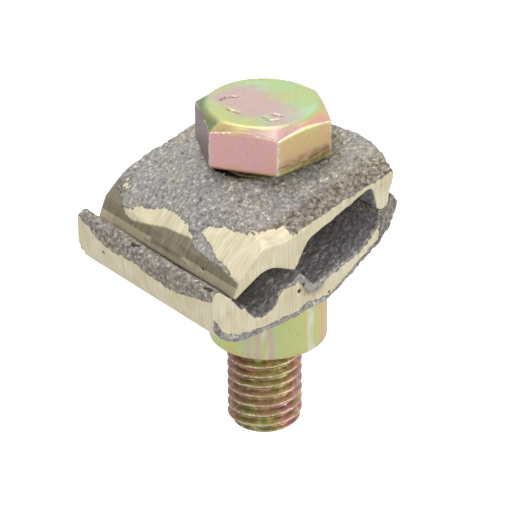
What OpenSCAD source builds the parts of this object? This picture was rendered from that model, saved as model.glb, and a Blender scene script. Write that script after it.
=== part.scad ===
// Single-conductor earthing clamp: two brass jaws on a hexagon bolt and a spacer.
// X runs across the jaws, with the conductor groove on -X and the heel on +X.
// Y runs along the conductor. Z is the bolt axis, with z = 0 at the foot of the spacer.

/* [Jaws] */
// Length of both jaws along the conductor
jaw_length = 34; // [28:0.5:44]
// Radius of the round that the groove of the lower jaw is shaped to
groove_r = 3.25; // [3:0.05:3.3]
// Width of the slot in the upper jaw that the bolt passes through
slot_w = 13; // [12.4:0.1:13.4]
// Diameter of the hole in the lower jaw that the bolt passes through
lower_hole_d = 13.5; // [12.8:0.1:14]
// Play between the heel of the upper jaw and its cup in the lower jaw
heel_play = 0.1; // [0.05:0.01:0.15]

/* [Bolt] */
// Diameter over the crests of the thread
thread_d = 12; // [11.8:0.05:12]
// Pitch of the thread
thread_pitch = 1.75; // [1.25:0.25:1.75]
// Length from the washer face of the head to the end of the thread
bolt_length = 47.5; // [40:0.5:60]
// Width of the head across its flats
head_af = 19; // [18:0.5:19]
// Height of the hexagon, without the washer face
head_h = 7.4; // [6.5:0.1:8]
// Turn of the hexagon about the bolt axis
head_turn = 3.4; // [0:0.1:60]

/* [Spacer] */
// Outside diameter of the spacer
spacer_d = 18.6; // [17:0.1:20]
// Bore of the spacer
spacer_bore = 13.5; // [13.4:0.1:14]
// Distance that the loose spacer sits off the bolt axis
spacer_shift = 0.6; // [0:0.05:0.6]

/* [Hidden] */
$fn = 64;

// Heights on the bolt axis
spacer_h = 12.5;
seat_z = spacer_h + 0.05;
washer_face_z = 32;
washer_face_h = 0.5;
thread_end_z = washer_face_z - bolt_length;

// Head: the chamfer leaves a round flat on top
washer_face_d = 0.9 * head_af;
head_flat_d = 0.9 * head_af;
head_chamfer_angle = 32.5;

// Thread: crests stand for the free end, and the pitch diameter for the stretch inside the clamp
pitch_d = thread_d - 0.6495 * thread_pitch;
end_chamfer = 1;

// Spacer: it has slid to one side by the play that it has on the bolt
spacer_edge = 0.4;
spacer_shift_angle = -38.3;

// Heel hinge: its axis runs along Y
heel_x = 9.6;
heel_z = 26.55;
heel_r = 1.25;
heel_swing = 25;
lip_reach = 6;

// Groove for the conductor
groove_x = -13.65;
groove_z = 18.3;

// Crown that the head bears on: a shallow dome with a sloping flank
crown_z = 31.95;
crown_sphere_r = 68;
crown_r = 10.5;
crown_foot_r = 14.5;
crown_foot_z = 26.5;

// Crest of the upper jaw: it climbs towards the heel, and it falls away to its ends, most on -Y
crest_z = 31.83;
crest_slope = 10.8;

// Dish round the head, in the part of the crest that stands higher than the washer face
dish_r = 10.4;
dish_depth = 2.6;
dish_flare = 4.6;

// Slot of the upper jaw, along X, and the boss and spot face that the spacer seats on
slot_back_x = -8.6;
slot_front_x = 6.4;
boss_d = 21;
jaw_top_z = 36;

brass = [0.80, 0.76, 0.60];
dark_brass = [0.66, 0.62, 0.50];
zinc = [0.82, 0.66, 0.48];
zinc_green = [0.76, 0.76, 0.46];

// Outlines are lists of corners [x, z, radius], and every corner is rounded to its radius
upper_corners = [
    [-19.5, 19.0, 0.35],
    [-17.7, 23.2, 1.0],
    [-14.2, 27.2, 4.0],
    [-7.5, 30.4, 10.0],
    [13.3, 34.35, 1.6],
    [10.95, 27.3, 0.4],
    [10.95, heel_z, 0],
    [8.35, heel_z, 0],
    [7.5, 29.75, 0.9],
    [-4.9, 24.8, 3.0],
    [-7.4, 20.5, 0.4],
    [-12.6, 22.9, 4.5]
];
lower_corners = [
    [-19.5, 19.8, 0.4],
    [-22.0, 22.0, 0.8],
    [-23.2, 21.4, 0.9],
    [-23.2, 11.6, 6.0],
    [-8.0, 12.1, 8.0],
    [-0.4, 13.3, 6.0],
    [10.4, 20.6, 6.0],
    [12.8, 25.2, 1.2],
    [12.0, 27.0, 0.6],
    [10.2, 27.0, 0],
    [8.75, 25.5, 0.2],
    [8.7, 23.0, 1.2],
    [5.6, 20.0, 6.0],
    [-3.6, 16.9, 0.9],
    [-6.6, 20.0, 0.7],
    [-8.1, 18.4, 0.4],
    [-10.3, 18.2, 0],
    [-17.7, 17.5, 0.3]
];
crest_profile = [
    [-17.2, -40],
    [-17.2, -2.75],
    [-16.2, -2.05],
    [-14.1, -1.2],
    [-11.5, -0.5],
    [-9, -0.1],
    [9, -0.1],
    [11.5, -0.15],
    [14.1, -0.38],
    [16.2, -0.65],
    [17.2, -0.8],
    [17.2, -40]
];
crown_corners = [
    [-16.0, 24.8, 0],
    [-16.0, jaw_top_z, 0],
    [11.0, jaw_top_z, 0],
    [11.0, 30.4, 0],
    [7.0, 30.2, 0],
    [-6.0, 26.6, 0]
];
boss_corners = [
    [-10.6, seat_z, 0],
    [10.6, seat_z, 0],
    [10.6, 21.5, 0],
    [3.0, 17.0, 0],
    [-10.6, 14.0, 0]
];

// The arc that rounds corner b between its neighbours a and c, in equal steps
function unit(v) = v / norm(v);
function corner_arc(a, b, c, steps = 6) =
    let (
        corner = [b.x, b.y],
        to_a = unit([a.x, a.y] - corner),
        to_c = unit([c.x, c.y] - corner),
        half = acos(to_a * to_c) / 2,
        centre = corner + unit(to_a + to_c) * b.z / sin(half),
        from = corner + to_a * b.z / tan(half) - centre,
        to = corner + to_c * b.z / tan(half) - centre,
        start = atan2(from.y, from.x),
        sweep = atan2(from.x * to.y - from.y * to.x, from * to)
    )
    b.z == 0 ? [corner] :
    [for (i = [0:steps]) centre + b.z * [cos(start + sweep * i / steps), sin(start + sweep * i / steps)]];
function rounded(corners) =
    let (n = len(corners))
    [for (i = [0:n - 1]) each corner_arc(corners[(i + n - 1) % n], corners[i], corners[(i + 1) % n])];

// A bar whose cross-section is an outline in X and Z, drawn along Y
module bar(corners, length = jaw_length) {
    rotate([90, 0, 0])
        linear_extrude(height = length, center = true)
            polygon(rounded(corners));
}

// A round along Y
module round_along_y(x, z, r, length) {
    translate([x, 0, z])
        rotate([90, 0, 0])
            cylinder(r = r, h = length, center = true);
}

module hexagon_head() {
    corner_r = head_af / 2 / cos(30);
    cone_h = (corner_r + 1 - head_flat_d / 2) * tan(head_chamfer_angle);
    intersection() {
        rotate([0, 0, head_turn])
            cylinder(r = corner_r, h = head_h, $fn = 6);
        union() {
            cylinder(r = corner_r + 1, h = head_h - cone_h);
            translate([0, 0, head_h - cone_h])
                cylinder(r1 = corner_r + 1, r2 = head_flat_d / 2, h = cone_h);
        }
    }
}

module hex_bolt() {
    color(zinc) {
        translate([0, 0, washer_face_z + washer_face_h])
            hexagon_head();
        translate([0, 0, washer_face_z])
            cylinder(d = washer_face_d, h = washer_face_h);
        // stretch inside the clamp, at the pitch diameter
        cylinder(d = pitch_d, h = washer_face_z);
        // free end, at the crests, and its chamfer
        translate([0, 0, thread_end_z + end_chamfer])
            cylinder(d = thread_d, h = -thread_end_z - end_chamfer);
        translate([0, 0, thread_end_z])
            cylinder(d1 = thread_d - 2 * end_chamfer, d2 = thread_d, h = end_chamfer);
    }
}

module bolt_slot() {
    back = slot_back_x + slot_w / 2;
    front = slot_front_x - slot_w / 2;
    for (x = [back, front])
        translate([x, 0, 0])
            cylinder(d = slot_w, h = jaw_top_z);
    translate([back, -slot_w / 2, 0])
        cube([front - back, slot_w, jaw_top_z]);
}

// The crown is turned about the bolt axis, and it is cut off below the roof of the arch and at the heel
module head_crown() {
    centre_z = crown_z - crown_sphere_r;
    edge_angle = asin(crown_r / crown_sphere_r);
    intersection() {
        bar(crown_corners);
        rotate_extrude()
            polygon([
                [0, crown_foot_z],
                [crown_foot_r, crown_foot_z],
                for (i = [8:-1:0])
                    [0, centre_z] + crown_sphere_r * [sin(edge_angle * i / 8), cos(edge_angle * i / 8)]
            ]);
    }
}

// The crest profile, in Y and Z, drawn along the climb of the crest
module under_crest() {
    translate([0, 0, crest_z])
        rotate([0, -crest_slope, 0])
            rotate([90, 0, 90])
                linear_extrude(height = 80, center = true)
                    polygon(crest_profile);
}

module head_dish() {
    translate([0, 0, crown_z])
        cylinder(r1 = dish_r, r2 = dish_r + dish_flare, h = dish_depth);
}

module upper_jaw() {
    color(brass)
        difference() {
            union() {
                intersection() {
                    bar(upper_corners);
                    under_crest();
                }
                head_crown();
                round_along_y(heel_x, heel_z, heel_r, jaw_length);
            }
            bolt_slot();
            head_dish();
        }
}

module spacer_boss() {
    intersection() {
        bar(boss_corners);
        cylinder(d = boss_d, h = jaw_top_z);
    }
}

// Cup that the heel turns in, and the room that the heel leg swings through
module heel_cup() {
    r = heel_r + heel_play;
    round_along_y(heel_x, heel_z, r, jaw_length + 2);
    translate([heel_x, 0, heel_z])
        rotate([0, heel_swing, 0])
            translate([0, -jaw_length / 2 - 1, 0])
                cube([r, jaw_length + 2, lip_reach]);
}

module lower_jaw() {
    color(dark_brass)
        difference() {
            union() {
                bar(lower_corners);
                spacer_boss();
            }
            cylinder(d = boss_d, h = seat_z);
            cylinder(d = lower_hole_d, h = jaw_top_z);
            round_along_y(groove_x, groove_z, groove_r, jaw_length + 2);
            heel_cup();
        }
}

module spacer() {
    color(zinc_green)
        translate(spacer_shift * [cos(spacer_shift_angle), sin(spacer_shift_angle), 0])
            difference() {
                union() {
                    cylinder(d1 = spacer_d - 2 * spacer_edge, d2 = spacer_d, h = spacer_edge);
                    translate([0, 0, spacer_edge])
                        cylinder(d = spacer_d, h = spacer_h - 2 * spacer_edge);
                    translate([0, 0, spacer_h - spacer_edge])
                        cylinder(d1 = spacer_d, d2 = spacer_d - 2 * spacer_edge, h = spacer_edge);
                }
                translate([0, 0, -1])
                    cylinder(d = spacer_bore, h = spacer_h + 2);
            }
}

hex_bolt();
upper_jaw();
lower_jaw();
spacer();
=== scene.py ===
"""Looks for the earthing clamp: two sand-cast brass jaws on a zinc-plated bolt and spacer.

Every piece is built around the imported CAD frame. Lengths are in metres, and MM turns millimetres
into them. The tables of points hold millimetres.
"""
import math

import bmesh
import bpy
import numpy as np
from mathutils import Matrix, Vector


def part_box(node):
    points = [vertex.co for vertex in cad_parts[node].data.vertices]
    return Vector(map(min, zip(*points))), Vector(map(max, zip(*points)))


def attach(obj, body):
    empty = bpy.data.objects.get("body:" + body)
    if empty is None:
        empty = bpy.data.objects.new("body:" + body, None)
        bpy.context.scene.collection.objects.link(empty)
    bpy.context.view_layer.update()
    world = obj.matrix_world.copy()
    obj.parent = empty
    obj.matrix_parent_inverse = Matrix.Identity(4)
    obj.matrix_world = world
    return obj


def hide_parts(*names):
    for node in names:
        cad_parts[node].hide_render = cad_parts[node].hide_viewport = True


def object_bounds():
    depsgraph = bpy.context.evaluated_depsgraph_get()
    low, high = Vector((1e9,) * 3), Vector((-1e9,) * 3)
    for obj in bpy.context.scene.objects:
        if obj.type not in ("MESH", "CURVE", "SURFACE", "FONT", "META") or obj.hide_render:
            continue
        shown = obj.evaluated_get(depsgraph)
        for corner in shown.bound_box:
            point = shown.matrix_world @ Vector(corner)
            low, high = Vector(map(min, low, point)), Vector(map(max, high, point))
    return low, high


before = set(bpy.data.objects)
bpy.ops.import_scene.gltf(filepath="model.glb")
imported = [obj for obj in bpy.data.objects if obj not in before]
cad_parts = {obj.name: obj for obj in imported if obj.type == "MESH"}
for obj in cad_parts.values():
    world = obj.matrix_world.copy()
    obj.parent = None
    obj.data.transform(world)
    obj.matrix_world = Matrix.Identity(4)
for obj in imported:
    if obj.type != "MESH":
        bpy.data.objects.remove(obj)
CAD_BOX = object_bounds()
MM = 0.001

# ---------------------------------------------------------------- numbers

VOXEL = 0.25 * MM          # grain of the mesh of a casting
SEED = 11

# camera: a long lens, seen from the conductor groove's side and from above
AZIMUTH, ELEVATION, ROLL = math.radians(-38.3), math.radians(28.28), math.radians(-0.42)
CAMERA_DISTANCE, LOOK_Z = 550 * MM, 13.4 * MM
SENSOR_WIDTH, LENS, SHIFT_X = 36, 249.3, -0.0151
VIEW_COS, VIEW_SIN = 0.785, 0.62     # of the turn from X and Y to the camera's right and away
# lights: name, direction from the clamp, distance, size and power
LIGHTS = (
    ("top", (0.0, 0.25, 1.0), 0.55, 0.40, 1.25),
    ("right", (1.0, -1.8, 0.6), 0.60, 0.35, 1.05),
    ("left", (-1.3, 0.0, 1.0), 0.60, 0.30, 0.5),
)
WORLD_STRENGTH = 0.75
FLOOR_HALF, FLOOR_DROP, FLOOR_GLOW = 3.0, 60 * MM, 0.6

# head of the bolt: a hexagon with a chamfer round its flat, on a washer face
HEAD_FLAT = 0.9            # width of the round flat over the width across flats
WASHER_FACE = 0.9          # width of the washer face over the width across flats
CHAMFER = math.radians(32.5)
CHAMFER_SAG = 0.52 * MM    # how much lower the chamfer's edge is at a corner than at mid-side
HEX_Z = 32.5 * MM
WASHER_Z = 32.0 * MM
NECK_R = 6.6 * MM          # where the washer face ends, close round the thread
CORNER_ROUND = 0.45 * MM   # radius of the six upright edges
EDGE_BREAK = 0.12 * MM     # how much the edges above and below the sides are broken
TOP_EDGE = ((-0.2, 0.02), (0.0, 0.07), (0.2, 0.15))   # out and down, where the flat turns over
TOP_ROWS = 60              # rings of vertices on the flat, close enough for the strokes
# strokes stamped in the head: two ends each, to the right and away as seen by the camera
STROKES = (
    (-6.4, 1.0, -5.4, 2.0), (-5.4, 2.0, -4.0, 1.9), (-5.3, -2.3, -3.6, -3.6),
    (0.2, -5.0, 1.0, -6.3), (1.0, -6.3, 2.2, -6.1), (1.5, -4.2, 2.9, -4.9),
)
STROKE_DEPTH = 0.18 * MM
STROKE_HALF = (0.08, 0.42)   # from its line: full depth within the first, none past the second

# thread of the bolt
THREAD_PITCH = 1.75 * MM
THREAD_STEPS = 16          # rows of vertices in one turn of the thread
THREAD_TOP = 31.6 * MM
THREAD_END_R = 4.95 * MM   # radius at the end, where a 45 degree chamfer starts
THREAD_END_RINGS = (4.2, 2.0, 0.3)   # radii of the rings of vertices on the end
CREST_R = 5.95 * MM

SPACER_BORE_R = 6.75 * MM
SPACER_EDGE = 0.35 * MM

# the crown under the head, the slot, the hole and the spot face, as they are in the frame
CROWN_TOP = 31.9 * MM
CROWN_SPHERE_R = 68 * MM
CROWN_R = 10.5 * MM
CROWN_FOOT_R = 14.5 * MM
CROWN_FOOT_Z = 26.5 * MM
CROWN_END_X = 11 * MM
CREST_Z = 31.83 * MM
CREST_SLOPE = math.radians(10.8)
CREST_SINK = 0.08          # the middle of the crest lies this far below CREST_Z, in mm
CREST_FLAT = 8.5           # the crest is level this far from mid-length, in mm
CREST_FALL = 0.0353        # and falls by this times the square of the rest, in mm, on the near side
CREST_FALL_FAR = 0.0095    # and by this on the far side
CREST_END_DROP = 2.61 * MM   # fall of the crest at the near end, for the end face's outline
DISH_R = 10.4 * MM
DISH_FLARE = 1.77          # run over rise of the dish's wall
SLOT_BACK, SLOT_FRONT, SLOT_WIDTH = -8.6 * MM, 6.4 * MM, 13 * MM
HOLE_R = 6.75 * MM
BOSS_R = 10.5 * MM
SPOT_Z = 12.55 * MM
# planes along Y: x and z of a point, and the unit normal in x and z
SHOULDER = (-14.2 * MM, 27.2 * MM, -0.431, 0.902)
LIP_EDGE = (-17.7 * MM, 23.2 * MM, -0.753, 0.658)
HEEL = (10.95 * MM, 27.3 * MM, 0.949, -0.316)
ARCH_ROOF = (-4.9 * MM, 24.8 * MM, -0.371, 0.929)
BOSS_TOPS = ((3 * MM, 17 * MM, -0.215, 0.977), (3 * MM, 17 * MM, -0.509, 0.861))

# finish of the upper jaw: lines of (x, z) on its end faces and (y, z) along its lip
UPPER_SKIN_LINE = (
    (-13, 26.6), (-9, 26.6), (-6.5, 26.9), (-4.5, 27.8), (1.2, 29.1), (7, 30.1), (12.5, 31.4),
)
SKIN_LINE_FAR_RISE = 1.7 * MM
LOBES_TOP = (
    (-17, 27.9), (-14.8, 27.5), (-10.7, 26.5), (-7.7, 26.2), (-4.9, 25.3), (-4.1, 23.2),
    (-3.2, 24.2), (-1.5, 24.9), (0.9, 25.3), (4.4, 25.0), (8.4, 24.1), (11.3, 22.9), (13, 23.2),
    (15, 24.2), (17, 25.0),
)
STRIP_MIDDLE = ((-17, 22.3), (-13.4, 22.7), (-9.0, 23.1), (-6.5, 23.5), (-4.2, 24.0))
STRIP_HALF = ((-17, -0.3), (-14, 0.1), (-10, 0.4), (-6, 0.7), (-4.4, 0.8), (-3.6, -0.5))
FACET_TOP = (
    (-17, 21.9), (-13.4, 22.5), (-9.0, 22.9), (-6.5, 23.2), (-3.0, 23.6), (1.1, 23.4),
    (4.7, 22.8), (9.4, 21.9), (11.3, 22.2), (12.6, 23.6), (15, 24.8), (17, 25.6),
)
FACET_BAND_Z = 21.15 * MM
RUBBED_CORNER = (-16.0, 15.2, 25.2)
# finish of the lower jaw, in the same way
LOWER_SKIN_LINE = (
    (-23.2, 18), (-21, 14.6), (-18, 13.2), (-14, 13.0), (-8, 13.3), (-0.4, 14.3), (10.4, 21.5),
    (12.8, 25.4),
)
SKIN_REACH = (
    (-18, -0.8), (-17, 0.1), (-12, 0.25), (-8, 0.3), (-6.6, 1.1), (-4.8, 1.8), (-2.8, 1.1),
    (-0.5, 0.5), (6, 0.5), (10, 0.4),
)
LOWER_FACE_TOP = (
    (-17, 20.6), (-15.3, 20.0), (-11.6, 19.2), (-8, 18.6), (-5.4, 18.3), (-3.5, 18.5),
    (-0.5, 18.7), (2.8, 19.1), (7.9, 18.8), (11.8, 19.4), (14.8, 20.8), (17, 21.6),
)
STAIN_X, STAIN_Z = -3.9, 17.2
# places and radii of the pits
UPPER_PITS = (
    (-16.6, -8.3, 24.5, 0.5), (-18.6, -8.6, 21.1, 0.3), (-16.9, -5.0, 24.2, 0.4),
    (9.4, -17, 29.4, 0.25),
)
LOWER_PITS = (
    (-22.2, 2.8, 21.8, 0.9), (-22.2, -14.6, 21.8, 0.8), (-22.0, -15.8, 21.6, 0.6),
    (-6.5, -17.0, 16.7, 0.55), (-0.7, -17.0, 14.5, 0.4), (-5.6, -17.0, 17.5, 0.4),
    (-19.6, -17.0, 13.9, 0.3), (-23.2, 10.6, 17.4, 0.45), (5.5, -17.0, 19.0, 0.35),
    (-18.3, -17, 20.1, 0.35), (-23.2, -3.5, 15.9, 0.3),
)

# film of the plating: its colours in order, and where it shows which of them
FILM = (
    (0.00, (0.56, 0.80, 0.50)), (0.14, (0.52, 0.70, 0.33)), (0.28, (0.66, 0.64, 0.25)),
    (0.42, (0.76, 0.55, 0.29)), (0.56, (0.80, 0.45, 0.36)), (0.70, (0.78, 0.45, 0.47)),
    (0.84, (0.46, 0.44, 0.46)), (1.00, (0.50, 0.68, 0.55)),
)
FILM_PINK = (0.70, 0.47, 0.49)
BARE_ZINC_AND_HIGHLIGHT = (0.84, 0.83, 0.78)
# sides of the hexagon, counted from its first corner. The camera sees these three.
LEFT, FRONT, RIGHT = 2, 3, 4
SIDE_FILM = (0.30, 0.45, 0.74, 0.64, 0.42, 0.36)
CHAMFER_FILM = (0.25, 0.20, 0.12, 0.36, 0.56, 0.40)
BAND_COS, BAND_SIN = 0.711, 0.703    # direction across the pink band on top of the head
UNDER_HEAD_Z = 31.7 * MM   # the thread is below this
FOOT_SHADE_Z = 33.1 * MM         # and the foot of the hexagon is darkened below this: painted shade where it meets the jaw
BRUISE_Z = 33.6 * MM

# colours of cast skin and ground brass, as ramps over noise
SKIN = (
    (0.33, (0.11, 0.104, 0.10)), (0.43, (0.31, 0.296, 0.286)), (0.54, (0.44, 0.42, 0.40)),
    (0.59, (0.58, 0.555, 0.50)), (0.64, (0.97, 0.94, 0.85)),
)
SKIN_TINT = ((0.35, (0.92, 0.92, 0.96)), (0.5, (1.0, 0.99, 0.97)), (0.66, (1.06, 1.03, 0.92)))
SKIN_BAND = ((0.40, (0.42, 0.36, 0.30)), (0.55, (0.95, 0.88, 0.78)))
# the skin inside the clamp: a flatter ramp without bright points, a shaded copy of the skin for
# painted shade, partly the skin as cast there
SKIN_INSIDE = (
    (0.36, (0.22, 0.212, 0.215)), (0.54, (0.50, 0.485, 0.49)), (0.66, (0.82, 0.80, 0.79)),
)
BRASS = ((0.28, (0.62, 0.56, 0.40)), (0.46, (0.72, 0.65, 0.47)), (0.66, (0.80, 0.74, 0.56)))
BRASS_CLOUD = (0.90, 0.87, 0.80)
# dark brass: a duller grind with painted shade on the upper jaw's lip facet, and the stain on the
# lower jaw
DULL_AND_SHADED_BRASS = ((0.3, (0.17, 0.145, 0.095)), (0.5, (0.235, 0.20, 0.135)), (0.7, (0.30, 0.26, 0.18)))
SKIN_RIM = (0.13, 0.115, 0.10)
PIT = (0.06, 0.054, 0.047)
SKIN_ROUGHNESS, BRASS_ROUGHNESS = 0.52, 0.56


# ---------------------------------------------------------------- noise and distance fields

def lattice(seed, size=32):
    return np.random.default_rng(seed).random((size, size, size))


def noise(p, cell, seed):
    """Smooth value noise from -1 to 1 at points p, with bumps about one cell wide."""
    grid = lattice(seed)
    n = grid.shape[0]
    q = p / cell + 100.0
    base = np.floor(q).astype(int)
    f = q - base
    f = f * f * (3 - 2 * f)
    total = np.zeros(len(p))
    for corner in np.ndindex(2, 2, 2):
        c = np.array(corner)
        weight = np.prod(np.where(c, f, 1 - f), axis=1)
        i = (base + c) % n
        total += weight * grid[i[:, 0], i[:, 1], i[:, 2]]
    return 2 * total - 1


def fractal(p, cell, seed, octaves=3):
    """Noise with finer and weaker noise on it."""
    total, weight = 0.0, 1.0
    for k in range(octaves):
        total = total + weight * noise(p, cell / 2**k, seed + k)
        weight *= 0.5
    return total / (2 - 2.0 ** (1 - octaves))


def smooth(x, low, high):
    """0 below low, 1 above high, and a smooth rise between."""
    t = np.clip((x - low) / (high - low), 0, 1)
    return t * t * (3 - 2 * t)


def round_max(a, b, r):
    """Distance to the overlap of two solids whose common edge is rounded to radius r."""
    u, v = np.maximum(a + r, 0), np.maximum(b + r, 0)
    return np.minimum(np.maximum(a, b), -r) + np.hypot(u, v)


def round_min(a, b, r):
    """Distance to two joined solids whose inner corner is filled to radius r."""
    u, v = np.maximum(r - a, 0), np.maximum(r - b, 0)
    return np.maximum(np.minimum(a, b), r) - np.hypot(u, v)


def plane(p, x, z, nx, nz):
    """Distance, along a unit normal, to a plane along Y through x and z."""
    return (p[:, 0] - x) * nx + (p[:, 2] - z) * nz


def line(at, points):
    """The value, in metres, of a line of straight steps through points that are in mm."""
    along, values = np.array(points).T
    return np.interp(at / MM, along, values) * MM


def as_seen(x, y):
    """The parts of x and y that run to the right and away, as seen by the camera."""
    return x * VIEW_COS - y * VIEW_SIN, x * VIEW_SIN + y * VIEW_COS


def end_outline(node):
    """The closed outline, as x and z, of the end face of a CAD jaw."""
    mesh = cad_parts[node].data
    y_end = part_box(node)[0].y
    edges = {}
    for poly in mesh.polygons:
        pts = [mesh.vertices[i].co for i in poly.vertices]
        if max(abs(p.y - y_end) for p in pts) > 1e-6:
            continue
        keys = [(round(p.x, 7), round(p.z, 7)) for p in pts]
        for a, b in zip(keys, keys[1:] + keys[:1]):
            # an edge that two triangles share isn't on the outline
            if (b, a) in edges:
                del edges[(b, a)]
            else:
                edges[(a, b)] = True
    follow = dict(edges.keys())
    start = next(iter(follow))
    loop, at = [start], follow[start]
    while at != start:
        loop.append(at)
        at = follow[at]
    return np.array(loop)


class Outline:
    """Signed distance to a closed outline in X and Z, on a fine grid. It is negative inside."""

    STEP = 0.06 * MM
    MARGIN = 2.0 * MM

    def __init__(self, loop):
        self.low = loop.min(0) - self.MARGIN
        shape = np.ceil((loop.max(0) + self.MARGIN - self.low) / self.STEP).astype(int) + 2
        axes = [self.low[k] + self.STEP * np.arange(shape[k]) for k in (0, 1)]
        gx, gz = np.meshgrid(*axes, indexing="ij")
        near = np.full(gx.shape, np.inf)
        inside = np.zeros(gx.shape, bool)
        for a, b in zip(loop, np.roll(loop, -1, axis=0)):
            d = b - a
            t = np.clip(((gx - a[0]) * d[0] + (gz - a[1]) * d[1]) / max(d @ d, 1e-18), 0, 1)
            near = np.minimum(near, np.hypot(gx - a[0] - t * d[0], gz - a[1] - t * d[1]))
            if a[1] != b[1]:
                crosses = (gz < max(a[1], b[1])) & (gz >= min(a[1], b[1]))
                inside ^= crosses & (gx < a[0] + (gz - a[1]) * d[0] / d[1])
        self.grid = np.where(inside, -near, near)

    def __call__(self, x, z):
        q = (np.stack([x, z], 1) - self.low) / self.STEP
        q = np.clip(q, 0, np.array(self.grid.shape) - 2.001)
        i = q.astype(int)
        f = q - i
        g = self.grid
        low = g[i[:, 0], i[:, 1]] * (1 - f[:, 0]) + g[i[:, 0] + 1, i[:, 1]] * f[:, 0]
        high = g[i[:, 0], i[:, 1] + 1] * (1 - f[:, 0]) + g[i[:, 0] + 1, i[:, 1] + 1] * f[:, 0]
        return low * (1 - f[:, 1]) + high * f[:, 1]


# ---------------------------------------------------------------- meshes

def to_object(name, mesh, body, node):
    obj = bpy.data.objects.new(name, mesh)
    bpy.context.scene.collection.objects.link(obj)
    mesh.polygons.foreach_set("use_smooth", np.ones(len(mesh.polygons), bool))
    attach(obj, body)
    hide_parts(node)
    return obj


def attribute(mesh, name, values):
    """Keeps a value for each vertex, for the material to read."""
    layer = mesh.attributes.new(name, "FLOAT", "POINT")
    layer.data.foreach_set("value", np.asarray(values, float))


def voxel_mesh(node):
    """A closed, even mesh of small faces over a CAD node."""
    bm = bmesh.new()
    bm.from_mesh(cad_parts[node].data)
    bmesh.ops.remove_doubles(bm, verts=bm.verts, dist=1e-7)
    source = bpy.data.meshes.new(node + "_source")
    bm.to_mesh(source)
    bm.free()
    obj = bpy.data.objects.new(node + "_source", source)
    bpy.context.scene.collection.objects.link(obj)
    remesh = obj.modifiers.new("remesh", "REMESH")
    remesh.mode = "VOXEL"
    remesh.voxel_size = VOXEL
    bpy.context.view_layer.update()
    graph = bpy.context.evaluated_depsgraph_get()
    mesh = bpy.data.meshes.new_from_object(obj.evaluated_get(graph))
    mesh.name = node
    bpy.data.objects.remove(obj)
    return mesh


def gradient(field, p, h=0.04 * MM):
    """The unit direction in which the field grows fastest at points p."""
    g = np.zeros_like(p)
    for k in range(3):
        step = np.zeros(3)
        step[k] = h
        g[:, k] = (field(p + step) - field(p - step)) / (2 * h)
    return g / np.maximum(np.linalg.norm(g, axis=1, keepdims=True), 1e-9)


def settle(mesh, field, rounds=4, longest=0.3 * MM):
    """Moves every vertex onto the surface where the field is zero, in steps of limited length."""
    p = np.empty(len(mesh.vertices) * 3)
    mesh.vertices.foreach_get("co", p)
    p = p.reshape(-1, 3)
    for _ in range(rounds):
        d = np.clip(field(p), -longest, longest)
        p = p - gradient(field, p) * d[:, None]
    mesh.vertices.foreach_set("co", p.ravel())
    mesh.update()
    return p


def loft(name, rings, closed=False):
    """A mesh through rings of points. Its two ends are capped, or joined if closed is set."""
    n = len(rings[0])
    verts = [tuple(v) for ring in rings for v in ring]
    faces = []
    last = len(rings) if closed else len(rings) - 1
    for r in range(last):
        a, b = r * n, (r + 1) % len(rings) * n
        faces += [(a + i, a + (i + 1) % n, b + (i + 1) % n, b + i) for i in range(n)]
    if not closed:
        top, bottom = len(verts), len(verts) + 1
        verts += [tuple(np.mean(rings[0], axis=0)), tuple(np.mean(rings[-1], axis=0))]
        faces += [(top, (i + 1) % n, i) for i in range(n)]
        base = (len(rings) - 1) * n
        faces += [(bottom, base + i, base + (i + 1) % n) for i in range(n)]
    mesh = bpy.data.meshes.new(name)
    mesh.from_pydata(verts, [], faces)
    bm = bmesh.new()
    bm.from_mesh(mesh)
    bmesh.ops.recalc_face_normals(bm, faces=bm.faces)
    bm.to_mesh(mesh)
    bm.free()
    return mesh


# ---------------------------------------------------------------- bolt

def hexagon_columns(turn, flat_r):
    """Angles and radii of the columns of vertices round the hexagon, from its first corner on."""
    angles, radii = [], []
    round_at = (flat_r - CORNER_ROUND) / math.cos(math.radians(30))
    side_x = round_at + CORNER_ROUND * math.cos(math.radians(30))
    start = math.atan2(CORNER_ROUND * math.sin(math.radians(30)), side_x)
    for k in range(6):
        corner = turn + math.radians(60 * k)
        for t in np.linspace(-30, 30, 7):
            x = round_at + CORNER_ROUND * math.cos(math.radians(t))
            y = CORNER_ROUND * math.sin(math.radians(t))
            angles.append(corner + math.atan2(y, x))
            radii.append(math.hypot(x, y))
        for t in np.linspace(start, math.radians(60) - start, 15)[1:-1]:
            angles.append(corner + t)
            radii.append(flat_r / math.cos(t - math.radians(30)))
    return np.array(angles), np.array(radii)


def chamfer_edge(top_z, flat_r, side_r):
    """Height of the chamfer's edge where the side is side_r from the axis: least at a corner."""
    corner_r = flat_r / math.cos(math.radians(30))
    corner_drop = (corner_r - HEAD_FLAT * flat_r) * math.tan(CHAMFER)
    return top_z - corner_drop + (corner_r - side_r) / (corner_r - flat_r) * CHAMFER_SAG


def thread_radius(angles, z, end_z):
    """Radii of the right-handed thread, with its chamfered end."""
    depth = 0.6134 * THREAD_PITCH
    crest = THREAD_PITCH / 16
    turns = z / THREAD_PITCH - angles / (2 * math.pi)
    along = np.abs(turns - np.floor(turns) - 0.5) * THREAD_PITCH
    fall = np.clip((along - crest) / (depth * math.tan(math.radians(30))), 0, 1)
    r = CREST_R - depth * smooth(fall, -0.15, 1.15)
    return np.minimum(r, THREAD_END_R + (z - end_z))


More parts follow.
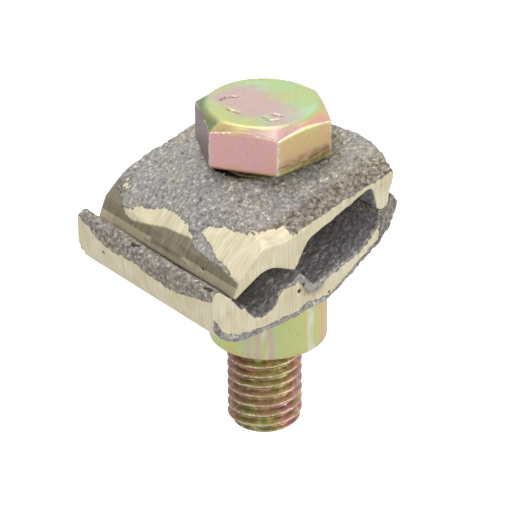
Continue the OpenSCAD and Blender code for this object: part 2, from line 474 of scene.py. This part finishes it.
def bolt():
    low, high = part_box("hex_bolt")
    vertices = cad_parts["hex_bolt"].data.vertices
    corner = max(vertices, key=lambda v: math.hypot(v.co.x, v.co.y)).co
    turn = math.atan2(corner.y, corner.x) % math.radians(60)
    flat_r = math.hypot(corner.x, corner.y) * math.cos(math.radians(30))
    top_r = HEAD_FLAT * flat_r
    washer_r = WASHER_FACE * flat_r
    angles, side_r = hexagon_columns(turn, flat_r)
    cos, sin = np.cos(angles), np.sin(angles)

    def ring(r, z):
        r, z = r + 0 * angles, z + 0 * angles
        return np.stack([r * cos, r * sin, z], 1)

    # from the middle of the head's top, down its sides and under it, and down the thread
    edge_z = chamfer_edge(high.z, flat_r, side_r)
    rings = [ring(r, high.z) for r in np.linspace(0.2 * MM, top_r - 0.45 * MM, TOP_ROWS)]
    rings += [ring(top_r + out * MM, high.z - down * MM) for out, down in TOP_EDGE]
    for t in (0.3, 0.5, 0.7, 0.85):
        rings.append(ring(top_r + (side_r - top_r) * t, high.z - (high.z - edge_z) * t))
    rings += [ring(side_r - EDGE_BREAK, edge_z + 0.07 * MM), ring(side_r, edge_z - EDGE_BREAK)]
    for t in np.linspace(0.1, 0.95, 8):
        rings.append(ring(side_r, edge_z + (HEX_Z + 0.15 * MM - edge_z) * t))
    rings += [ring(side_r, HEX_Z + EDGE_BREAK), ring(side_r - EDGE_BREAK, HEX_Z)]
    rings += [ring(washer_r + 0.05 * MM, HEX_Z), ring(washer_r, HEX_Z - 0.05 * MM)]
    rings += [ring(washer_r, WASHER_Z + 0.03 * MM), ring(washer_r - 0.08 * MM, WASHER_Z)]
    rings += [ring(NECK_R, WASHER_Z)]
    rows = int((THREAD_TOP - low.z) / (THREAD_PITCH / THREAD_STEPS))
    for z in np.linspace(THREAD_TOP, low.z, rows):
        rings.append(ring(thread_radius(angles, z, low.z), z))
    rings += [ring(r * MM, low.z) for r in THREAD_END_RINGS]
    mesh = loft("bolt", rings)
    film_bolt(mesh, turn, flat_r, high.z, stamp(mesh, high.z))
    mesh.materials.append(plated_material("zinc_bolt", False))
    return to_object("hex_bolt_body", mesh, "hex_bolt", "hex_bolt")


def stamp(mesh, top_z):
    """Presses the strokes into the top of the head, and says how deep each vertex went."""
    depth = np.zeros(len(mesh.vertices))
    for v in mesh.vertices:
        if v.co.z < top_z - 0.02 * MM:
            continue
        at = np.array(as_seen(v.co.x, v.co.y)) / MM
        near = 9.0
        for x0, y0, x1, y1 in STROKES:
            start, run = np.array((x0, y0)), np.array((x1 - x0, y1 - y0))
            t = np.clip((at - start) @ run / (run @ run), 0, 1)
            near = min(near, float(np.linalg.norm(at - start - t * run)))
        depth[v.index] = 1 - float(smooth(near, *STROKE_HALF))
        v.co.z -= STROKE_DEPTH * depth[v.index]
    mesh.update()
    return depth


def film_bolt(mesh, turn, flat_r, top_z, stamped):
    """Says, for each vertex, which colour the film has, where zinc shows through it and where a
    highlight is painted, where shade is painted, and how much darker it is.
    """
    p = np.array([v.co for v in mesh.vertices])
    x, y, z = p.T
    r = np.hypot(x, y)
    angle = np.arctan2(y, x)
    face = (np.floor((angle - turn) / math.radians(60)) % 6).astype(int)
    top_r = HEAD_FLAT * flat_r
    right, away = as_seen(x, y)
    along, across = right / top_r, away / top_r
    soft = fractal(p, 7 * MM, SEED + 30)
    small = fractal(p, 2.2 * MM, SEED + 34)
    # where each vertex is: on the thread, or on the head's sides, chamfer or top
    side_r = flat_r / np.cos(((angle - turn) % math.radians(60)) - math.radians(30))
    edge_z = chamfer_edge(top_z, flat_r, side_r)
    below = z < UNDER_HEAD_Z
    on_chamfer = smooth(z, edge_z - 0.1 * MM, edge_z + 0.1 * MM)
    on_top = smooth(top_r - r, -0.9 * MM, 0.5 * MM) * (z > top_z - 1.5 * MM)
    # the top: green at the left and at the far right, and a pink band between them
    in_band = 0.46 - np.abs(BAND_COS * along + BAND_SIN * across + 0.17)
    pink = smooth(in_band + 0.25 * soft + 0.12 * small, -0.12, 0.32)
    pink *= smooth(1.05 - np.abs(BAND_SIN * along - BAND_COS * across - 0.05), 0, 0.3)
    pink = np.clip(pink + 0.25 * small * (pink > 0), 0, 1)
    grey = smooth(0.40 - np.hypot(across - 0.62, 0.6 * along), -0.1, 0.3)
    top = 0.17 + 0.16 * soft + 0.06 * small - 0.14 * grey - 0.07 * smooth(along, 0.2, 0.7)
    # each side has its own colour, and some have orange borders above and below
    side = np.choose(face, SIDE_FILM) + 0.07 * soft + 0.06 * small
    border = smooth(np.abs(z - (top_z - 4.2 * MM)), 2.2 * MM, 3.2 * MM)
    side -= 0.16 * border * (face >= FRONT)
    chamfer = np.choose(face, CHAMFER_FILM) + 0.12 * soft
    edges = smooth(np.abs(along) * top_r, 2.5 * MM, 6 * MM)
    thread = 0.36 + 0.18 * soft + 0.22 * small + 0.22 * edges
    film = side + (chamfer - side) * on_chamfer
    film = film + (top - film) * on_top
    attribute(mesh, "film", np.where(below, thread, film))
    blush = 0.75 * (face == FRONT) * smooth(along, -0.55, -0.1)
    blush = blush + 0.6 * (face == RIGHT) * (1 - smooth(along, 0.55, 0.85))
    pink = 0.85 * pink * on_top + blush * on_chamfer * (1 - on_top)
    attribute(mesh, "pink", np.where(below, 0, pink))
    # zinc shows where the film is rubbed off the rim of the chamfer and the upright edges; on the
    # crests of the thread it is rubbed zinc and a painted highlight
    rim = (1 - smooth(np.abs(z - edge_z), 0.05 * MM, 0.3 * MM)) * (r > flat_r)
    corner = smooth(r, 1.125 * flat_r, 1.145 * flat_r)
    crest = 0.72 * smooth(r, CREST_R - 0.11 * MM, CREST_R - 0.01 * MM) * below
    attribute(mesh, "wear_and_highlight", np.where(below, crest, 0.62 * np.maximum(rim, 0.9 * corner)))
    # the left side, the left of the chamfer and the left of the thread are in painted shade
    shade = (face == LEFT) * (1 - 0.15 * on_chamfer)
    shade = shade + (face == FRONT) * on_chamfer * (0.2 + 0.45 * smooth(-along, 0.2, 0.8))
    shade = np.where(below, 0.5 * smooth(-along, 0.0, 0.5), shade * (1 - on_top))
    attribute(mesh, "shade", shade)
    # darker: a bruise on the right side and the whole thread, and painted shade in the thread's
    # roots, in the strokes and at the hexagon's foot next to the jaw
    hollow = smooth(CREST_R - 0.2 * MM - r, 0, 0.8 * MM) * below
    from_bruise = np.abs(z - BRUISE_Z) - 0.9 * MM * small
    bruise = (face == RIGHT) * smooth(0.9 * MM - from_bruise, -0.3 * MM, 0.6 * MM)
    # painted shade at the hexagon's foot, next to the jaw
    foot = 0.6 * smooth(FOOT_SHADE_Z - z, 0, 0.5 * MM)
    dull_and_shade = np.maximum.reduce([0.6 * below + 0.4 * hollow, bruise, foot, stamped])
    attribute(mesh, "dull_and_shade", np.clip(dull_and_shade, 0, 1))


# ---------------------------------------------------------------- spacer

def spacer():
    low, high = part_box("spacer")
    centre = (low + high) / 2
    outer = (high.x - low.x) / 2
    bore, edge = SPACER_BORE_R, SPACER_EDGE
    angles = np.linspace(0, 2 * math.pi, 192, endpoint=False)
    cos, sin = np.cos(angles), np.sin(angles)

    def ring(r, z):
        return np.stack([centre.x + r * cos, centre.y + r * sin, z + 0 * angles], 1)

    # round the wall: the foot, up the outside, the top, and down the bore
    rings = [ring(bore, low.z + edge), ring(bore + 0.3 * edge, low.z + 0.3 * edge)]
    rings += [ring(bore + edge, low.z), ring(outer - edge, low.z)]
    rings += [ring(outer - 0.3 * edge, low.z + 0.3 * edge)]
    rings += [ring(outer, z) for z in np.linspace(low.z + edge, high.z - edge, 12)]
    rings += [ring(outer - 0.3 * edge, high.z - 0.3 * edge), ring(outer - edge, high.z)]
    rings += [ring(bore + edge, high.z), ring(bore + 0.3 * edge, high.z - 0.3 * edge)]
    rings += [ring(bore, high.z - edge)]
    rings += [ring(bore, z) for z in np.linspace(high.z - edge, low.z + edge, 6)[1:-1]]
    mesh = loft("spacer", rings, closed=True)
    film_spacer(mesh, centre)
    mesh.materials.append(plated_material("zinc_spacer", True))
    return to_object("spacer_sleeve", mesh, "spacer", "spacer")


def film_spacer(mesh, centre):
    """Says, for each vertex, which colour the film has, where zinc shows through it, where
    reflections are painted in upright streaks, and how much darker it is.
    """
    p = np.array([v.co for v in mesh.vertices])
    streaks = fractal(p * np.array((1, 1, 0.12)), 3.0 * MM, SEED + 40, octaves=2)
    blush = fractal(p * np.array((1, 1, 0.10)), 2.2 * MM, SEED + 48, octaves=2)
    silver = fractal(p * np.array((1, 1, 0.14)), 1.5 * MM, SEED + 44)
    rim = smooth(np.abs(p[:, 2] - centre.z), 5.6 * MM, 6.2 * MM)
    right, away = as_seen(p[:, 0] - centre.x, p[:, 1] - centre.y)
    around = np.degrees(np.arctan2(away, right))
    around += 6 * fractal(p, 5 * MM, SEED + 52)

    def streak(middle, half_width):
        """1 on an upright streak, in degrees from the camera's right. The nearest side is -90."""
        return smooth(1 - np.abs(around - middle) / half_width, 0, 0.7)

    orange = streak(-18, 24)
    attribute(mesh, "film", 0.245 + 0.12 * streaks + 0.12 * rim + 0.17 * orange)
    attribute(mesh, "pink", np.maximum(0.6 * smooth(blush, 0.3, 0.5), 0.75 * streak(-86, 5)))
    # painted reflections: two upright streaks of zinc colour, fixed to the camera's view; the
    # silver noise is rubbed zinc
    painted_reflections = np.maximum(streak(-46, 10), 0.6 * streak(-79, 3))
    painted_reflections = painted_reflections * (0.75 + 0.5 * fractal(p, 4 * MM, SEED + 56))
    attribute(mesh, "wear_and_highlight", np.maximum(0.7 * smooth(silver, 0.3, 0.5), painted_reflections))
    attribute(mesh, "dull_and_shade", 0.25 * rim)


# ---------------------------------------------------------------- jaws

def slot_hole(p):
    """Distance to the slot that the bolt passes through in the upper jaw."""
    half = SLOT_WIDTH / 2
    x = p[:, 0] - np.clip(p[:, 0], SLOT_BACK + half, SLOT_FRONT - half)
    return np.hypot(x, p[:, 1]) - half


def crown(p):
    """The dome under the head with its sloping flank, above the roof of the arch."""
    r = np.hypot(p[:, 0], p[:, 1])
    centre = CROWN_TOP - CROWN_SPHERE_R
    dome = np.hypot(r, p[:, 2] - centre) - CROWN_SPHERE_R
    rim_z = centre + math.sqrt(CROWN_SPHERE_R**2 - CROWN_R**2)
    run, drop = CROWN_FOOT_R - CROWN_R, rim_z - CROWN_FOOT_Z
    flank = ((r - CROWN_R) * drop + (p[:, 2] - rim_z) * run) / math.hypot(run, drop)
    return round_max(round_max(dome, flank, 3 * MM), p[:, 0] - CROWN_END_X, 0.5 * MM)


def upper_field():
    """The upper jaw's distance field, and the distance to the outline of its end faces."""
    loop = end_outline("upper_jaw")
    # the end face's top edge is taken out of the way, because the crest is higher at mid-length
    crest_at_end = CREST_Z + loop[:, 0] * math.tan(CREST_SLOPE) - CREST_END_DROP
    on_top = loop[:, 1] > crest_at_end - 0.2 * MM
    out = np.sign(loop[on_top, 0]) * 3 * MM
    loop[on_top] += np.stack([out, np.full(len(out), 6 * MM)], 1)
    outline = Outline(loop)
    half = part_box("upper_jaw")[1].y

    def field(p):
        x, y, z = p.T
        r = np.hypot(x, y)
        fall = np.where(y < 0, CREST_FALL, CREST_FALL_FAR)
        drop = (CREST_SINK + fall * np.maximum(np.abs(y) / MM - CREST_FLAT, 0) ** 2) * MM
        crest = (z - CREST_Z) * math.cos(CREST_SLOPE) - x * math.sin(CREST_SLOPE) + drop
        shoulders = round_max(plane(p, *SHOULDER), plane(p, *LIP_EDGE), 4 * MM)
        heel = plane(p, *HEEL) - MM * smooth(27.5 * MM - z, 0, MM)
        # the far shoulder is a little fuller than the near one
        fuller = 0.3 * MM * smooth(y, 3 * MM, 11 * MM) * smooth(-x, 2 * MM, 9 * MM)
        # the crest turns over into the shoulders, sharply at the near end of the lip
        soft = smooth(x, -14 * MM, -9 * MM)
        near_r = 0.8 * MM + 2.2 * MM * smooth(y, 0, 10 * MM)
        top = round_max(crest, shoulders, near_r + (6 * MM - near_r) * soft) - fuller
        side = np.maximum(outline(x, z), round_max(top, heel, 1.6 * MM))
        # the dome, which runs out before it reaches the roof of the arch and the lip
        above_roof = plane(p, *ARCH_ROOF)
        lift = smooth(above_roof, 0.8 * MM, 2.2 * MM)
        dome = np.maximum(crown(p), 1.2 * MM - above_roof)
        blend = 0.05 * MM + 3.0 * MM * lift * smooth(x, -15.5 * MM, -10 * MM)
        body = round_min(side, dome, blend)
        wall = (z - CROWN_TOP) * DISH_FLARE - (r - DISH_R)
        dish = np.minimum(z - CROWN_TOP, wall / math.hypot(1, DISH_FLARE))
        body = round_max(body, dish, 1.5 * MM * lift + 0.01 * MM)
        # the end faces and the slot
        crisp = smooth(x, -15 * MM, -9 * MM)
        body = round_max(body, np.abs(y) - half, 0.2 * MM + 0.7 * MM * lift * crisp)
        return round_max(body, -slot_hole(p), 0.4 * MM)

    return field, lambda p: outline(p[:, 0], p[:, 2])


def upper_ground(p, _side):
    """How far, in metres, each point is inside a patch that was ground bright."""
    x, y, z = p.T
    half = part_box("upper_jaw")[1].y
    skin_line = line(x, UPPER_SKIN_LINE) + np.where(y < 0, 0, SKIN_LINE_FAR_RISE)
    ends = np.minimum(4 * (np.abs(y) - (half - 0.1 * MM)), skin_line - z)
    # the lip: two lobes with a notch between them
    lobes = np.where(x < -8 * MM, (line(y, LOBES_TOP) - z) * 0.7, -1.0)
    # a strip of skin is left between the near lobe and the facet, and it narrows towards the end
    strip = np.abs(z - line(y, STRIP_MIDDLE)) - line(y, STRIP_HALF)
    lobes = np.where(x < -14 * MM, np.minimum(lobes, strip), lobes)
    # above the far corner the skin is only rubbed: grains of brass show through it
    away = np.linalg.norm(p / MM - np.array(RUBBED_CORNER), axis=1)
    rubbed = -0.02 * MM - 0.10 * MM * np.maximum(away - 1.2, 0)
    return np.maximum(np.maximum(ends, lobes), rubbed)


def upper_facet(p):
    """1 on the ground facet along the lip, which is darkened as a duller grind and as painted
    shade, and less on the narrow band below it.
    """
    x, y, z = p.T
    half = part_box("upper_jaw")[1].y
    side = smooth(-x, 14 * MM, 15 * MM) * smooth(half - np.abs(y), 0.05 * MM, 0.15 * MM)
    facet = smooth(line(y, FACET_TOP) - z, -0.08 * MM, 0.08 * MM)
    band = smooth(FACET_BAND_Z - z, -0.06 * MM, 0.06 * MM)
    return side * (facet - 0.45 * band)


def lower_field():
    """The lower jaw's distance field, and the distance to the outline of its end faces."""
    outline = Outline(end_outline("lower_jaw"))
    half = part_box("lower_jaw")[1].y

    def side_of(p):
        x, y, z = p.T
        # the lip stands a little higher towards the far end
        raised = 0.35 * MM * smooth(y, 2 * MM, 15 * MM) * smooth(z, 19 * MM, 21 * MM)
        return outline(x, z - raised * (x < -19 * MM))

    def field(p):
        x, y, z = p.T
        r = np.hypot(x, y)
        top = np.maximum(*(plane(p, *row) for row in BOSS_TOPS))
        boss = round_max(round_max(r - BOSS_R, top, 0.3 * MM), SPOT_Z - z, 0.4 * MM)
        body = round_min(side_of(p), boss, 1.0 * MM)
        end_r = 0.25 * MM + 0.45 * MM * smooth(16 * MM - z, 0, 2 * MM)
        ended = round_max(body, np.abs(y) - half, end_r)
        faced = np.maximum(ended, np.minimum(BOSS_R - r, SPOT_Z - z))
        return round_max(faced, HOLE_R - r, 0.3 * MM)

    return field, side_of


def lower_ground(p, side):
    """How far, in metres, each point is inside a patch that was ground bright."""
    x, y, z = p.T
    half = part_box("lower_jaw")[1].y
    skin_line = line(x, LOWER_SKIN_LINE)
    ends = np.minimum(4 * (np.abs(y) - (half - 0.1 * MM)), z - skin_line)
    # the skin round the groove and the arch reaches a little way down the end face, most at the
    # ridge between them
    ends = np.minimum(np.minimum(ends, -side - line(x, SKIN_REACH)), 9.0 * MM - x)
    # the outer face below the lip, and the spot face round the hole
    below_lip = np.minimum(line(y, LOWER_FACE_TOP) - z, -18 * MM - x)
    face = np.where(x < -17 * MM, below_lip, -1.0)
    at_end = (np.abs(y) > half - 0.6 * MM) & (x > -22.9 * MM)
    face = np.where(at_end, np.minimum(face, z - skin_line), face)
    spot = np.where(np.hypot(x, y) < BOSS_R - 0.1 * MM, SPOT_Z + 0.1 * MM - z, -1.0)
    return np.maximum(np.maximum(ends, face), spot)


def roughen(mesh, fields, ground, pits):
    """Gives a casting its sandy skin. Ground places stay smooth, and pits are small hollows."""
    field, side = fields
    p = settle(mesh, field)
    normal = gradient(field, p)
    grain = 0.10 * fractal(p, 3.2 * MM, SEED) + 0.12 * fractal(p, 1.2 * MM, SEED + 4)
    grain = grain + 0.17 * noise(p, 0.55 * MM, SEED + 8)
    ragged = 0.22 * fractal(p, 1.5 * MM, SEED + 12) + 0.18 * noise(p, 0.5 * MM, SEED + 16)
    bright = ground(p, side(p)) + ragged * MM
    hollow = np.zeros(len(p))
    for x, y, z, r in pits:
        away = np.linalg.norm((p - np.array((x, y, z)) * MM) * (1, 0.7, 1.2), axis=1) / MM
        away += 0.5 * r * noise(p, 0.6 * MM, SEED + 24)
        hollow = np.maximum(hollow, 1 - smooth(away, 0.3 * r, r))
    skin = 1 - smooth(bright, -0.12 * MM, 0.12 * MM)
    waves = 0.006 * fractal(p, 3 * MM, SEED + 20) - 0.05
    shift = skin * (grain - 0.02) + (1 - skin) * waves - 0.35 * hollow
    p = p + normal * (shift * MM)[:, None]
    mesh.vertices.foreach_set("co", p.ravel())
    mesh.update()
    return p, normal, bright, hollow


def shade_casting(mesh, normal, bright, hollow, facet, inside, band):
    """Keeps, for the material, what was ground or is a pit, how dark the ground brass is (a duller
    grind with painted shade on the upper lip's facet, a stain on the lower jaw), what lies inside
    the clamp, where shade is painted on the skin, and where the skin is browner."""
    attribute(mesh, "ground", np.clip(bright / MM, -1, 1))
    attribute(mesh, "facet", facet)
    attribute(mesh, "inside", inside)
    attribute(mesh, "hollow", hollow)
    attribute(mesh, "band", band)
    attribute(mesh, "end_face", smooth(np.abs(normal[:, 1]), 0.6, 0.8))


def upper_jaw():
    mesh = voxel_mesh("upper_jaw")
    p, normal, bright, hollow = roughen(mesh, upper_field(), upper_ground, UPPER_PITS)
    x, y = p[:, 0], p[:, 1]
    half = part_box("upper_jaw")[1].y
    # the undersides inside the clamp get the shaded copy of the skin: painted shade, partly the
    # skin as cast
    inside = smooth(-normal[:, 2], -0.1, 0.3) * smooth(half - np.abs(y), 0.1 * MM, 0.5 * MM)
    band = smooth(-y, 12.8 * MM, 14.6 * MM) + 0.3 * smooth(y, 14.6 * MM, 16.4 * MM)
    band *= smooth(normal[:, 2], 0.1, 0.4) * smooth(x, -13 * MM, -8 * MM)
    shade_casting(mesh, normal, bright, hollow, upper_facet(p), inside, band)
    obj = to_object("upper_jaw_casting", mesh, "upper_jaw", "upper_jaw")
    mesh.materials.append(casting_material("cast_brass_upper"))
    return obj


def lower_jaw():
    mesh = voxel_mesh("lower_jaw")
    p, normal, bright, hollow = roughen(mesh, lower_field(), lower_ground, LOWER_PITS)
    x, y, z = p.T
    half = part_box("lower_jaw")[1].y
    from_end = half - np.abs(y)
    # the floor of the groove and the arch gets the shaded copy of the skin: painted shade, partly
    # the skin as cast
    inside = smooth(normal[:, 2], -0.3, 0.1) * smooth(x, -19.6 * MM, -18.6 * MM)
    inside *= smooth(from_end, 0.1 * MM, 0.9 * MM) * smooth(25.5 * MM - z, 0, 2 * MM)
    band = smooth(x, 4 * MM, 9 * MM) + smooth(-21 * MM - x, 0, MM)
    # a brown stain on the end faces, below the ridge between the groove and the arch
    away = np.hypot(x / MM - STAIN_X, z / MM - STAIN_Z) + 0.9 * fractal(p, 1.6 * MM, SEED + 60)
    stain = 0.6 * (1 - smooth(away, 1.6, 3.0))
    stain = stain * smooth(np.abs(y), half - 0.4 * MM, half - 0.2 * MM)
    shade_casting(mesh, normal, bright, hollow, stain, inside, 0.7 * band)
    obj = to_object("lower_jaw_casting", mesh, "lower_jaw", "lower_jaw")
    mesh.materials.append(casting_material("cast_brass_lower"))
    return obj


# ---------------------------------------------------------------- materials

class Nodes:
    """Short calls that build a node material."""

    def __init__(self, name):
        self.mat = bpy.data.materials.new(name)
        self.mat.use_nodes = True
        self.tree = self.mat.node_tree
        self.bsdf = self.tree.nodes["Principled BSDF"]
        self.coords = self.add("ShaderNodeTexCoord").outputs["Object"]

    def add(self, kind, **settings):
        node = self.tree.nodes.new(kind)
        for key, value in settings.items():
            setattr(node, key, value)
        return node

    def put(self, socket, value):
        if isinstance(value, bpy.types.NodeSocket):
            self.tree.links.new(value, socket)
        else:
            socket.default_value = value

    def attr(self, name):
        return self.add("ShaderNodeAttribute", attribute_name=name).outputs["Fac"]

    def math(self, operation, a, b):
        node = self.add("ShaderNodeMath", operation=operation)
        self.put(node.inputs[0], a)
        self.put(node.inputs[1], b)
        return node.outputs[0]

    def swing(self, noise, amount):
        """Noise about 0.5, turned into a swing about zero."""
        return self.math("MULTIPLY", self.math("SUBTRACT", noise, 0.5), amount)

    def ramp(self, value, *stops):
        node = self.add("ShaderNodeValToRGB")
        self.put(node.inputs[0], value)
        elements = node.color_ramp.elements
        while len(elements) < len(stops):
            elements.new(0.5)
        for element, (at, color) in zip(elements, stops):
            element.position = at
            element.color = (*color, 1)
        return node.outputs[0]

    def step(self, value, low, high):
        node = self.add("ShaderNodeMapRange", interpolation_type="SMOOTHSTEP")
        self.put(node.inputs[0], value)
        node.inputs[1].default_value, node.inputs[2].default_value = low, high
        return node.outputs[0]

    def mix(self, factor, a, b, blend="MIX"):
        node = self.add("ShaderNodeMix", data_type="RGBA", blend_type=blend)
        self.put(node.inputs[0], factor)
        self.put(node.inputs[6], (*a, 1) if isinstance(a, tuple) else a)
        self.put(node.inputs[7], (*b, 1) if isinstance(b, tuple) else b)
        return node.outputs[2]

    def darken(self, factor, color, by):
        """The colour, multiplied by another one as far as factor says."""
        return self.mix(factor, color, self.mix(1.0, color, by, "MULTIPLY"))

    def stretched(self, scale):
        node = self.add("ShaderNodeMapping")
        self.put(node.inputs["Vector"], self.coords)
        node.inputs["Scale"].default_value = scale
        return node.outputs["Vector"]

    def noise(self, scale, detail=2.0, roughness=0.5, vector=None):
        node = self.add("ShaderNodeTexNoise")
        self.put(node.inputs["Vector"], self.coords if vector is None else vector)
        node.inputs["Scale"].default_value = scale
        node.inputs["Detail"].default_value = detail
        node.inputs["Roughness"].default_value = roughness
        return node.outputs["Fac"]

    def bump(self, height, strength, distance):
        node = self.add("ShaderNodeBump")
        node.inputs["Strength"].default_value = strength
        node.inputs["Distance"].default_value = distance
        self.put(node.inputs["Height"], height)
        self.put(self.bsdf.inputs["Normal"], node.outputs["Normal"])


def casting_material(name):
    """Grey cast skin and ground brass. The attributes from shade_casting say what is where."""
    n = Nodes(name)
    fine = n.noise(3200, 3, 0.6)
    coarse = n.noise(200, 3, 0.55)
    grains = n.noise(1500, 3, 0.7)
    # cast skin: grey sand texture with dark hollows and small bright brass points
    level = n.math("ADD", n.math("MULTIPLY", grains, 0.7), n.math("MULTIPLY", fine, 0.3))
    skin = n.mix(1.0, n.ramp(level, *SKIN), n.ramp(coarse, *SKIN_TINT), "MULTIPLY")
    skin = n.darken(n.attr("band"), skin, n.ramp(n.noise(1300, 2, 0.6), *SKIN_BAND))
    # inside the clamp the skin takes a flatter ramp without bright points: a shaded copy of the
    # skin, partly painted shade and partly the skin as cast there
    skin = n.mix(n.attr("inside"), skin, n.ramp(level, *SKIN_INSIDE))
    # ground brass: scratches run down the slope, or up and down on the end faces
    across = n.noise(1.0, 2, 0.6, n.stretched((260, 3600, 260)))
    upright = n.noise(1.0, 2, 0.6, n.stretched((3600, 300, 200)))
    lines = n.mix(n.attr("end_face"), across, upright)
    brass = n.ramp(lines, *BRASS)
    brass = n.darken(n.step(n.noise(330, 2, 0.5), 0.35, 0.75), brass, BRASS_CLOUD)
    # the upper jaw's lip facet is darker, a duller grind with painted shade; on the lower jaw this
    # is the stain
    brass = n.mix(n.attr("facet"), brass, n.ramp(lines, *DULL_AND_SHADED_BRASS))
    # the line between them is ragged, and the skin is darker along it
    ragged = n.math("ADD", n.attr("ground"), n.swing(level, 0.9))
    ground = n.step(ragged, -0.03, 0.03)
    not_ground = n.math("SUBTRACT", 1.0, ground)
    color = n.mix(ground, skin, brass)
    rim = n.math("MULTIPLY", n.step(ragged, -0.16, -0.02), not_ground)
    color = n.mix(n.math("MULTIPLY", rim, 0.45), color, SKIN_RIM)
    color = n.mix(n.step(n.attr("hollow"), 0.35, 0.75), color, PIT)
    n.put(n.bsdf.inputs["Base Color"], color)
    n.bsdf.inputs["Metallic"].default_value = 0.4
    rough = n.add("ShaderNodeMix", data_type="FLOAT")
    n.put(rough.inputs[0], ground)
    rough.inputs[2].default_value = SKIN_ROUGHNESS
    rough.inputs[3].default_value = BRASS_ROUGHNESS
    n.put(n.bsdf.inputs["Roughness"], rough.outputs[0])
    height = n.math("ADD", n.math("MULTIPLY", level, not_ground),
                    n.math("MULTIPLY", n.math("MULTIPLY", lines, 0.05), ground))
    n.bump(height, 1.0, 0.7 * MM)
    return n.mat


def plated_material(name, streaked):
    """Zinc with a yellow chromate film. The attribute film says which of its colours shows."""
    n = Nodes(name)
    if streaked:
        drift = n.noise(1.0, 3, 0.55, n.stretched((420, 420, 45)))
    else:
        drift = n.noise(420, 3, 0.55)
    phase = n.math("ADD", n.attr("film"), n.swing(drift, 0.35))
    color = n.mix(n.attr("pink"), n.ramp(phase, *FILM), FILM_PINK)
    speck = n.noise(2600, 3, 0.7)
    color = n.darken(n.step(speck, 0.56, 0.72), color, (0.72, 0.68, 0.66))
    color = n.darken(n.attr("shade"), color, (0.28, 0.24, 0.24))
    patches = n.step(n.noise(900, 3, 0.6, n.stretched((1, 1, 2.4))), 0.25, 0.6)
    # darker where the film is duller, and where shade is painted: in the thread's roots, in the
    # strokes and at the hexagon's foot
    color = n.darken(n.math("MULTIPLY", n.attr("dull_and_shade"), patches), color, (0.36, 0.33, 0.30))
    # zinc colour where the film is rubbed through, painted highlights on the thread's crests, and
    # painted reflections in upright streaks on the spacer
    wear_and_highlight = n.math("ADD", n.attr("wear_and_highlight"), n.swing(speck, 0.3 if streaked else 1.1))
    color = n.mix(n.step(wear_and_highlight, 0.45, 0.95 if streaked else 0.75), color, BARE_ZINC_AND_HIGHLIGHT)
    n.put(n.bsdf.inputs["Base Color"], color)
    n.bsdf.inputs["Metallic"].default_value = 0.6
    n.bsdf.inputs["Roughness"].default_value = 0.34
    height = n.math("ADD", n.math("MULTIPLY", speck, 0.5),
                    n.math("MULTIPLY", n.noise(700, 2, 0.5), 0.5))
    n.bump(height, 0.35, 0.12 * MM)
    return n.mat


# ---------------------------------------------------------------- stage

def stage():
    """A white room, with a white floor that the camera sees and that lights nothing itself."""
    world = bpy.data.worlds.new("studio")
    bpy.context.scene.world = world
    world.use_nodes = True
    world.node_tree.nodes["Background"].inputs["Color"].default_value = (1, 1, 1, 1)
    world.node_tree.nodes["Background"].inputs["Strength"].default_value = WORLD_STRENGTH
    size, z = FLOOR_HALF, CAD_BOX[0][2] - FLOOR_DROP
    corners = [(-size, -size, z), (size, -size, z), (size, size, z), (-size, size, z)]
    mesh = bpy.data.meshes.new("floor")
    mesh.from_pydata(corners, [], [(0, 1, 2, 3)])
    floor = bpy.data.objects.new("floor", mesh)
    bpy.context.scene.collection.objects.link(floor)
    floor.visible_diffuse = False
    floor.visible_glossy = False
    mat = bpy.data.materials.new("floor")
    mat.use_nodes = True
    bsdf = mat.node_tree.nodes["Principled BSDF"]
    bsdf.inputs["Base Color"].default_value = (0.9, 0.9, 0.9, 1)
    bsdf.inputs["Roughness"].default_value = 0.95
    bsdf.inputs["Emission Color"].default_value = (1, 1, 1, 1)
    bsdf.inputs["Emission Strength"].default_value = FLOOR_GLOW
    mesh.materials.append(mat)


def softbox(name, direction, distance, size, power):
    """A square area light that faces the middle of the clamp."""
    light = bpy.data.lights.new(name, "AREA")
    light.shape = "SQUARE"
    light.size = size
    light.energy = power
    obj = bpy.data.objects.new(name, light)
    bpy.context.scene.collection.objects.link(obj)
    toward = Vector(direction).normalized()
    middle = Vector((0, 0, (CAD_BOX[0][2] + CAD_BOX[1][2]) / 2))
    turn = toward.to_track_quat("Z", "Y").to_matrix().to_4x4()
    obj.matrix_world = Matrix.Translation(middle + toward * distance) @ turn


def camera():
    back = Vector((
        math.sin(AZIMUTH) * math.cos(ELEVATION),
        -math.cos(AZIMUTH) * math.cos(ELEVATION),
        math.sin(ELEVATION),
    ))
    data = bpy.data.cameras.new("camera")
    data.sensor_width = SENSOR_WIDTH
    data.lens = LENS
    data.shift_x = SHIFT_X
    cam = bpy.data.objects.new("camera", data)
    bpy.context.scene.collection.objects.link(cam)
    place = Matrix.Translation(Vector((0, 0, LOOK_Z)) + CAMERA_DISTANCE * back)
    turn = back.to_track_quat("Z", "Y").to_matrix().to_4x4()
    cam.matrix_world = place @ turn @ Matrix.Rotation(ROLL, 4, "Z")
    bpy.context.scene.camera = cam


camera()
stage()
for row in LIGHTS:
    softbox(*row)
bpy.context.scene.view_settings.view_transform = "Standard"
bolt()
spacer()
upper_jaw()
lower_jaw()
